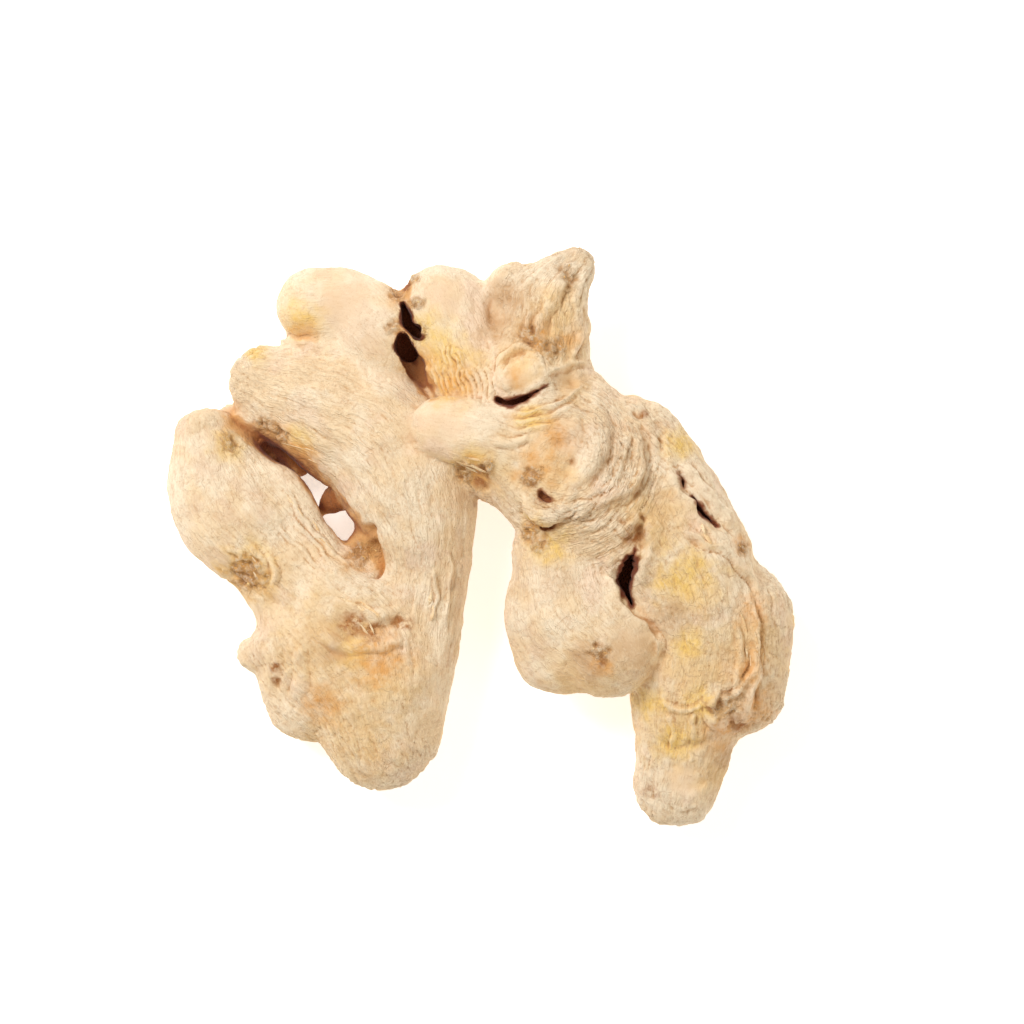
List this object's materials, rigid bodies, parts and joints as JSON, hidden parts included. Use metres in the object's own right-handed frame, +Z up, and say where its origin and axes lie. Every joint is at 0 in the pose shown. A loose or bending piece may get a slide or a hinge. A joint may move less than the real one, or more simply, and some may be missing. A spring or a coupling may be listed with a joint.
{
  "type": "dried ginger root",
  "caption": "Whole peeled and dried ginger root: a flat forked rhizome of knobbly lobes, buds and a long finger, lying on its side.",
  "frame": {"origin": "middle of the root's outline seen from above, on the surface it rests on", "axes": "+X along its longest reach, from the left lobe to the outer lobe; +Y towards the knobs and the peak, away from the long finger; +Z up from the surface"},
  "size_m": [0.1374, 0.1265, 0.0308],
  "materials": {
    "rhizome": "matt, dry and fibrous, cream to peach with yellow and orange-brown patches"
  },
  "bodies": {
    "root": {"rhizome": "rhizome"}
  },
  "joints": []
}
